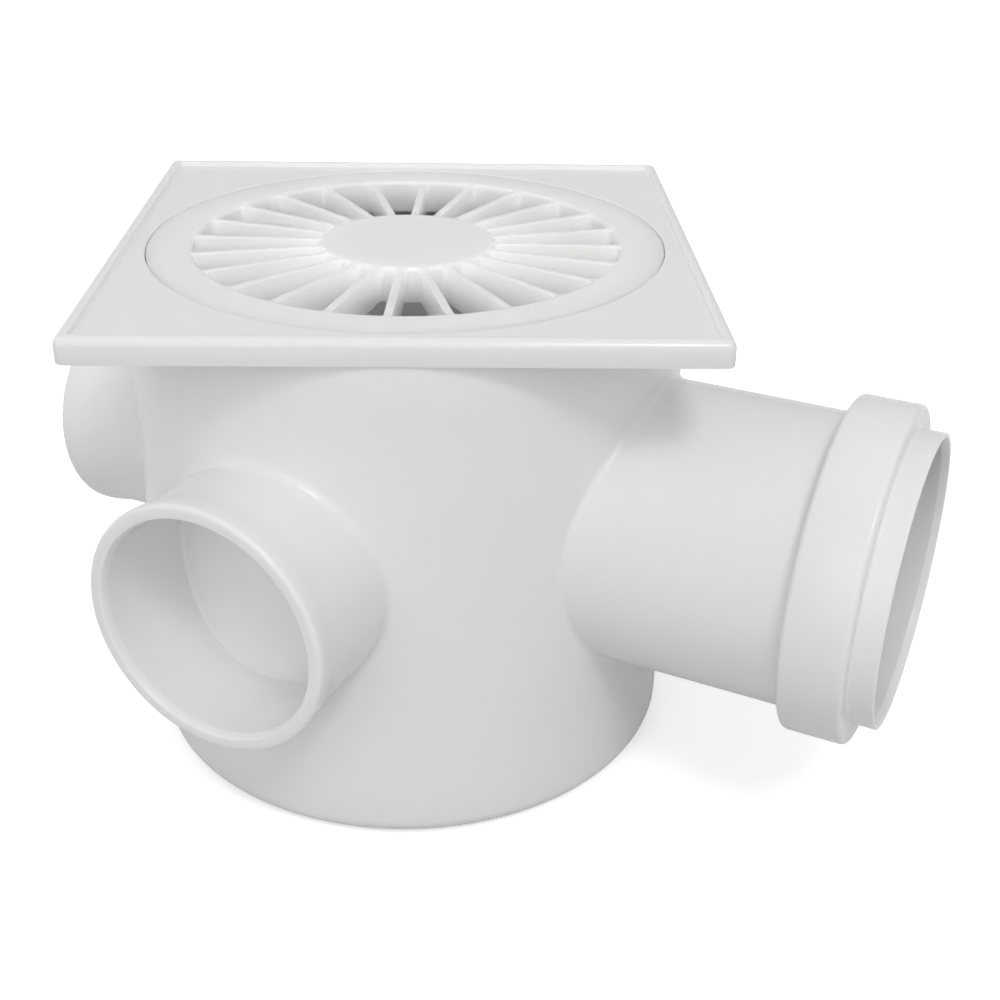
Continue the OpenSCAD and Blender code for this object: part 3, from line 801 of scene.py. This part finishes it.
def build_outlet_ring(context):
    """The outlet's rubber ring: a block with a slanted lip, turned round the outlet."""
    b, s = context.scene.gully_branches, context.scene.gully_seals
    outside = b.collar_r - b.collar_wall - s.play
    start, end = RING_LOW.x, RING_HIGH.x
    middle = (outside + b.outlet_r) / 2
    tip = b.outlet_r + s.clear
    section = rounded([
        (start, tip, FINE_EDGE),
        (start, outside, SOFT_EDGE),
        (end, outside, SOFT_EDGE),
        (end, middle, SOFT_EDGE),
        ((start + end) / 2, middle, EASED_EDGE),
        (start + s.heel, tip, FINE_EDGE),
    ])
    ring = tube(section, full_turn(RING_COLUMNS))
    skin = Skin()
    skin.add(swung(ring, 0, b.axis_z), close_rows=True)
    return skin.piece("outlet_ring", black_rubber(context), "black_rubber",
                      "outlet_seal_ring")


def build_o_ring(context, node, name, upright):
    """An O-ring that fills its node's box: a small circle turned round the box's
    middle, round an upright axis or round the outlet's."""
    low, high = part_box(node)
    middle = (low + high) / 2
    section_r = (high.z - low.z) / 2 if upright else (high.x - low.x) / 2
    ring_r = (high.y - low.y) / 2 - section_r
    section = [ring_r, 0] + section_r * spokes(full_turn(CORD_COLUMNS))
    grid = turned(section, full_turn(RING_COLUMNS))
    if not upright:
        grid = grid[..., [2, 0, 1]]
    skin = Skin()
    skin.add(grid + np.array(middle), close_rows=True)
    return skin.piece(name, black_rubber(context), "black_rubber", node)


# -------- finishes

# The scales of the noises are features per metre, the depths of the bumps metres.
NOISE_LOW, NOISE_HIGH = 0.3, 0.7  # where most of a noise's values lie
DRIFT_SCALE = 22  # slow drift of the plastic's tone
SHEEN_SCALE = 90  # patches of more and of less gloss
SHEEN_LOW, SHEEN_HIGH = -0.015, 0.02  # what they take from or add to the roughness
WAVE_SCALE, WAVE_DEPTH = 45, 0.00003  # waves left by the cooling
GRAIN_SCALE, GRAIN_DEPTH = 2600, 0.000003  # grain of the mould
ROUGH_DETAIL = 0.6  # how strong the finest layers of a grain are
PVC_IOR = 1.52
SCATTER_SHARE = 0.7  # share of the light that travels inside
SCATTER_TINT = (1.0, 0.98, 0.96)  # how far red, green and blue get
# The hood's paler tone is painted light against the shade inside the chamber.
HOOD_PAINTED_LIGHT, HOOD_DULLER = 1.03, 0.08  # the hood's paler tone and its added roughness
SPECK_SCALE, SPECK_PALER = 900, 1.8  # specks on the rubber, and how much paler
RUBBER_GLOSS = (0.55, 0.75)
BLOOM_SCALE, BLOOM_DEPTH = 3000, 0.00001  # its bloom


def feed(tree, node, inputs):
    """Gives each named input of a node its value, or links it to another's output."""
    for name, value in inputs.items():
        if isinstance(value, bpy.types.NodeSocket):
            tree.links.new(value, node.inputs[name])
        else:
            node.inputs[name].default_value = value
    return node


def add_node(tree, kind, inputs, **settings):
    """A new shader node, with its settings made before its inputs are fed."""
    node = tree.nodes.new("ShaderNode" + kind)
    for name, value in settings.items():
        setattr(node, name, value)
    return feed(tree, node, inputs)


def material_nodes(name):
    """A new material, its node tree and the principled shader that it shows."""
    material = bpy.data.materials.new(name)
    material.use_nodes = True
    tree = material.node_tree
    tree.nodes.clear()
    shader = add_node(tree, "BsdfPrincipled", {})
    add_node(tree, "OutputMaterial", {"Surface": shader.outputs["BSDF"]})
    return material, tree, shader


def noise(tree, scale, detail=3, roughness=0.5):
    """Noise on the object's own coordinates, with scale features per metre."""
    place = add_node(tree, "TexCoord", {})
    return add_node(tree, "TexNoise", {
        "Vector": place.outputs["Object"], "Scale": scale, "Detail": detail,
        "Roughness": roughness}).outputs["Fac"]


def spread(tree, value, low, high):
    """Brings the middle of a noise to the range from low to high."""
    return add_node(tree, "MapRange", {
        "Value": value, "From Min": NOISE_LOW, "From Max": NOISE_HIGH, "To Min": low,
        "To Max": high}).outputs["Result"]


def tone(tree, value, first, second):
    """A colour between two, by a value from 0 to 1."""
    return add_node(tree, "Mix", {"Factor": value, "A": (*first, 1), "B": (*second, 1)},
                    data_type="RGBA").outputs["Result"]


def bump(tree, shader, *layers):
    """Bumps of the given (height, distance) layers, one on top of the other."""
    below = {}
    for height, distance in layers:
        node = add_node(tree, "Bump", {"Strength": 1.0, "Distance": distance,
                                       "Height": height, **below})
        below = {"Normal": node.outputs["Normal"]}
    feed(tree, shader, below)


def moulded(name, dark, pale, gloss, depth):
    """A moulded plastic: tone that drifts over the piece, a gloss that varies a
    little, slow waves left by the cooling and a fine grain. depth is how far the
    light travels inside it."""
    found = bpy.data.materials.get(name)
    if found:
        return found
    material, tree, shader = material_nodes(name)
    shader.subsurface_method = "BURLEY"
    drift = spread(tree, noise(tree, DRIFT_SCALE), 0, 1)
    feed(tree, shader, {
        "Base Color": tone(tree, drift, dark, pale),
        "Roughness": spread(tree, noise(tree, SHEEN_SCALE), gloss + SHEEN_LOW,
                            gloss + SHEEN_HIGH),
        "IOR": PVC_IOR,
        "Subsurface Weight": SCATTER_SHARE,
        "Subsurface Radius": SCATTER_TINT,
        "Subsurface Scale": depth,
    })
    bump(tree, shader, (noise(tree, WAVE_SCALE, 1), WAVE_DEPTH),
         (noise(tree, GRAIN_SCALE, roughness=ROUGH_DETAIL), GRAIN_DEPTH))
    return material


def white_pvc(context, thin=False):
    """White PVC, satin in the body and the frame. In the grate it is thin, and light
    comes through the vanes."""
    looks = context.scene.gully_looks
    name, depth = (("white_pvc_thin", looks.thin_depth) if thin
                   else ("white_pvc_satin", looks.depth))
    return moulded(name, looks.white, looks.bright, looks.gloss, depth)


def hood_pvc_painted_paler(context):
    """PVC of the hood and its plug, with a tone paler than the white PVC: painted light
    that lifts them out of the shade inside the chamber.
    """
    looks = context.scene.gully_looks
    pale = [min(1.0, value * HOOD_PAINTED_LIGHT) for value in looks.inner]
    return moulded("inner_pvc_satin", looks.inner, pale, looks.gloss + HOOD_DULLER,
                   looks.thin_depth)


def black_rubber(context):
    """Matt black rubber with a fine bloom."""
    name = "black_rubber_matt"
    found = bpy.data.materials.get(name)
    if found:
        return found
    looks = context.scene.gully_looks
    material, tree, shader = material_nodes(name)
    pale = [value * SPECK_PALER for value in looks.rubber]
    speck = noise(tree, SPECK_SCALE, 4, ROUGH_DETAIL)
    feed(tree, shader, {
        "Base Color": tone(tree, spread(tree, speck, 0, 1), looks.rubber, pale),
        "Roughness": spread(tree, speck, *RUBBER_GLOSS),
    })
    bump(tree, shader, (noise(tree, BLOOM_SCALE), BLOOM_DEPTH))
    return material


# -------- operators

class GULLY_OT_body(Operator):
    """Make the chamber with its outlet and inlets"""
    bl_idname = "gully.body"
    bl_label = "Body"

    def execute(self, context):
        build_body(context)
        return {"FINISHED"}


class GULLY_OT_frame(Operator):
    """Make the square top frame"""
    bl_idname = "gully.top_frame"
    bl_label = "Top frame"

    def execute(self, context):
        build_frame(context)
        return {"FINISHED"}


class GULLY_OT_grate(Operator):
    """Make the round grate with its vanes"""
    bl_idname = "gully.grate"
    bl_label = "Grate"

    def execute(self, context):
        build_grate(context)
        return {"FINISHED"}


class GULLY_OT_seals(Operator):
    """Make the outlet's rubber ring and the two O-rings"""
    bl_idname = "gully.seals"
    bl_label = "Seals"

    def execute(self, context):
        build_outlet_ring(context)
        build_o_ring(context, "insert_seal", "spigot_o_ring", upright=False)
        build_o_ring(context, "plug_seal", "plug_o_ring", upright=True)
        return {"FINISHED"}


class GULLY_OT_water_seal(Operator):
    """Give the hood and its cleaning plug their finish"""
    bl_idname = "gully.water_seal"
    bl_label = "Water seal"

    def execute(self, context):
        for node in ("trap_insert", "cleaning_plug"):
            piece = frame["nodes"][node]
            piece.data.materials.clear()
            # This material's paler tone is painted light against the shade inside the
            # chamber.
            piece.data.materials.append(hood_pvc_painted_paler(context))
        return {"FINISHED"}


# -------- the stage

FLOOR_REACH = 4.0  # half the floor's side
FLOOR_GAP = 0.0002  # how far the floor lies below the base
FLOOR_ROUGHNESS, FLOOR_SHEEN = 0.9, 0.1
FLOOR_GLOW = 0.43  # glow of the floor that only the camera sees
WHITE = (1, 1, 1, 1)
LAMP_DISTANCE = 3.0
# name, the setting with its power, side in metres, azimuth, elevation
LAMPS = (
    ("key_lamp", "key", 0.7, -45, 53),
    ("front_lamp", "front", 2.2, -78, 22),
    ("side_lamp", "side", 1.5, 180, 40),
)
SENSOR_MM, CLIP_START, CLIP_END = 36, 0.01, 50


def floor_material(shade):
    """A pale floor that keeps the object's shadow. Its colour is white to the camera,
    in reflections and through what is clear. Its glow is for the camera alone."""
    material, tree, shader = material_nodes("studio_floor")
    path = add_node(tree, "LightPath", {}).outputs
    camera = ray = path["Is Camera Ray"]
    for other in ("Is Glossy Ray", "Is Transmission Ray"):
        ray = add_node(tree, "Math", {0: ray, 1: path[other]},
                       operation="MAXIMUM").outputs[0]
    glow = add_node(tree, "Math", {0: camera, 1: FLOOR_GLOW}, operation="MULTIPLY")
    feed(tree, shader, {
        "Base Color": tone(tree, ray, shade, WHITE[:3]),
        "Roughness": FLOOR_ROUGHNESS,
        "Specular IOR Level": FLOOR_SHEEN,
        "Emission Color": WHITE,
        "Emission Strength": glow.outputs[0],
    })
    return material


def lamp(name, power, size, azimuth, elevation):
    """A square soft lamp that shines at the middle of the branches from the lamps'
    distance, at an azimuth counted from the outlet and an elevation, in degrees: along
    x and y by the elevation's cosine times the azimuth's cosine and sine, and up by the
    elevation's sine."""
    data = bpy.data.lights.new(name, "AREA")
    data.energy = power
    data.shape = "SQUARE"
    data.size = size
    turn, rise = radians(azimuth), radians(elevation)
    way = Vector((cos(rise) * cos(turn), cos(rise) * sin(turn),
                  sin(rise)))
    holder = shown(name, data)
    holder.location = way * LAMP_DISTANCE + Vector((0, 0, BRANCH_Z))
    holder.rotation_euler = way.to_track_quat("Z", "Y").to_euler()


def set_room(scene, strength):
    """Even pale light all round, which the camera alone sees as plain white."""
    world = bpy.data.worlds.new("studio_room")
    world.use_nodes = True
    tree = world.node_tree
    tree.nodes.clear()
    light, seen = (add_node(tree, "Background", {"Strength": value, "Color": WHITE})
                   for value in (strength, 1.0))
    path = add_node(tree, "LightPath", {})
    mix = add_node(tree, "MixShader", {0: path.outputs["Is Camera Ray"],
                                       1: light.outputs[0], 2: seen.outputs[0]})
    add_node(tree, "OutputWorld", {0: mix.outputs[0]})
    scene.world = world


class GULLY_OT_stage(Operator):
    """Set up the floor, the lamps and the camera"""
    bl_idname = "gully.stage"
    bl_label = "Stage"

    def execute(self, context):
        scene, stage = context.scene, context.scene.gully_stage
        scene.view_settings.view_transform = "Standard"
        mesh = bpy.data.meshes.new("floor")
        z = CAD_BOX[0][2] - FLOOR_GAP
        mesh.from_pydata([(x * FLOOR_REACH, y * FLOOR_REACH, z)
                          for x, y in ((-1, -1), (1, -1), (1, 1), (-1, 1))],
                         [], [(0, 1, 2, 3)])
        mesh.materials.append(floor_material(stage.floor))
        floor = shown("floor", mesh)
        for name, power, size, azimuth, elevation in LAMPS:
            lamp(name, getattr(stage, power), size, azimuth, elevation)
        set_room(scene, stage.sky)
        data = bpy.data.cameras.new("camera")
        data.lens = stage.lens
        data.sensor_width = SENSOR_MM
        data.clip_start = CLIP_START
        data.clip_end = CLIP_END
        camera = shown("camera", data)
        camera.matrix_world = (Matrix.Translation(stage.eye)
                               @ Matrix.Rotation(stage.heading, 4, "Z")
                               @ Matrix.Rotation(stage.tilt, 4, "X")
                               @ Matrix.Rotation(stage.roll, 4, "Z"))
        scene.camera = camera
        return {"FINISHED"}


OPERATORS = (GULLY_OT_body, GULLY_OT_frame, GULLY_OT_grate, GULLY_OT_seals,
             GULLY_OT_water_seal, GULLY_OT_stage)
# scene property, its group, its title in the panel, the button below it
SECTIONS = (
    ("gully_chamber", ChamberSizes, "Chamber", None),
    ("gully_branches", BranchSizes, "Branches", "gully.body"),
    ("gully_frame", FrameSizes, "Top frame", "gully.top_frame"),
    ("gully_grate", GrateSizes, "Grate", "gully.grate"),
    ("gully_seals", SealSizes, "Seals", "gully.seals"),
    ("gully_looks", FinishLooks, "Finish", "gully.water_seal"),
    ("gully_stage", StageSetup, "Stage", "gully.stage"),
)


class GULLY_PT_panel(Panel):
    """Lists the gully's sizes and the buttons that make its pieces"""
    bl_idname = "GULLY_PT_panel"
    bl_label = "Gully trap"
    bl_space_type = "VIEW_3D"
    bl_region_type = "UI"
    bl_category = "Gully"

    def draw(self, context):
        for attribute, group, title, operator in SECTIONS:
            box = self.layout.box()
            box.label(text=title)
            for name in group.__annotations__:
                box.prop(getattr(context.scene, attribute), name)
            if operator:
                box.operator(operator)


def register():
    """Adds the classes, and each group of sizes to the scene."""
    for attribute, group, _, _ in SECTIONS:
        bpy.utils.register_class(group)
        setattr(bpy.types.Scene, attribute, PointerProperty(type=group))
    for item in (*OPERATORS, GULLY_PT_panel):
        bpy.utils.register_class(item)


def unregister():
    """Takes out what register added, in the reverse order."""
    for item in (GULLY_PT_panel, *reversed(OPERATORS)):
        bpy.utils.unregister_class(item)
    for attribute, group, _, _ in reversed(SECTIONS):
        delattr(bpy.types.Scene, attribute)
        bpy.utils.unregister_class(group)


def main():
    """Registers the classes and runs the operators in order."""
    register()
    bpy.ops.gully.body()
    bpy.ops.gully.top_frame()
    bpy.ops.gully.grate()
    bpy.ops.gully.seals()
    bpy.ops.gully.water_seal()
    bpy.ops.gully.stage()
    bpy.context.view_layer.update()


if __name__ == "__main__":
    main()
